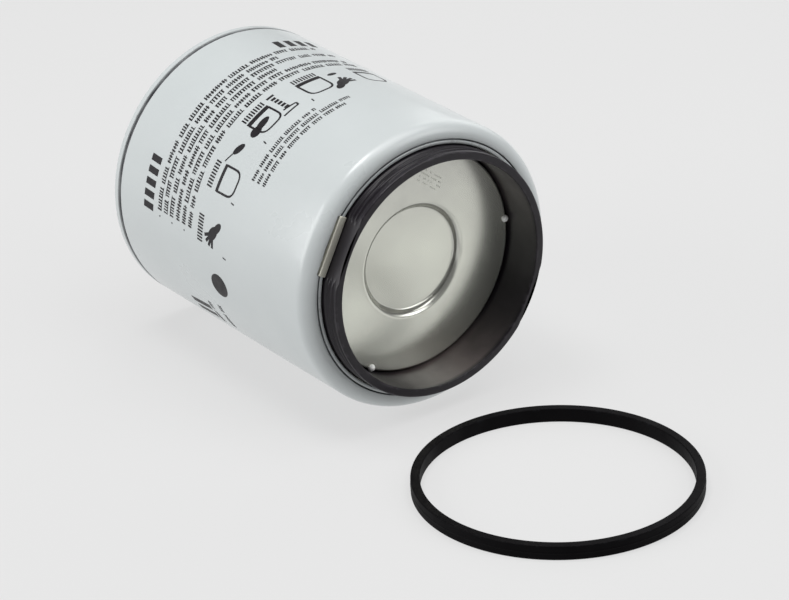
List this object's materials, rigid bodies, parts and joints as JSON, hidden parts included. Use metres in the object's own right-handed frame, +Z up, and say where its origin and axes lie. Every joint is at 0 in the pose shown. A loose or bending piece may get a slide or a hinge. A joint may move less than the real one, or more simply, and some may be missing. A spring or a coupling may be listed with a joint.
{
  "type": "spin-on fuel filter",
  "caption": "Spin-on fuel filter and water separator: painted can with a threaded head end, a black bowl thread ring round a steel end cap, and a loose bowl seal.",
  "frame": {"origin": "centre of the head thread's mouth, on the outer face of the base plate", "axes": "+Y out of the head thread along the filter's axis, -Y out of the bowl end, +Z up from the surface that the filter lies on"},
  "size_m": [0.1089, 0.2529, 0.108],
  "materials": {
    "can_paint": "smooth semi-gloss cool grey-white enamel with black print",
    "bare_steel": "zinc plated, dull",
    "tinplate": "rolled tinplate, satin, slightly yellow",
    "lock_steel": "bare rolled steel, dull beige",
    "ring_plastic": "moulded black glass-filled nylon, semi-matt",
    "seal_rubber": "smooth matt black nitrile",
    "gasket_rubber": "lightly greased black nitrile",
    "filter_paper": "resin-treated pleated paper",
    "potting_adhesive": "cured potting adhesive",
    "sealing_compound": "dried seaming compound",
    "screen_mesh": "fine woven water-repelling mesh"
  },
  "bodies": {
    "filter": {"can": "can_paint", "seaming_lid": "bare_steel", "seam_sealant": "sealing_compound", "base_plate": "bare_steel", "head_gasket": "gasket_rubber", "hub_grommet": "gasket_rubber", "top_end_cap": "tinplate", "bottom_end_cap": "tinplate", "top_adhesive": "potting_adhesive", "bottom_adhesive": "potting_adhesive", "pleated_media": "filter_paper", "media_clip": "tinplate", "pleat_bands": "potting_adhesive", "centre_tube": "tinplate", "outlet_screen": "screen_mesh", "thread_ring": "ring_plastic", "ring_oring": "seal_rubber", "lock_ring": "lock_steel"},
    "loose_seal": {"bowl_seal": "seal_rubber"}
  },
  "joints": [
    {"name": "seal_lift", "type": "slide", "parent": "filter", "child": "loose_seal", "axis": [0, 0, 1], "range_m": [0, 0.12]}
  ]
}
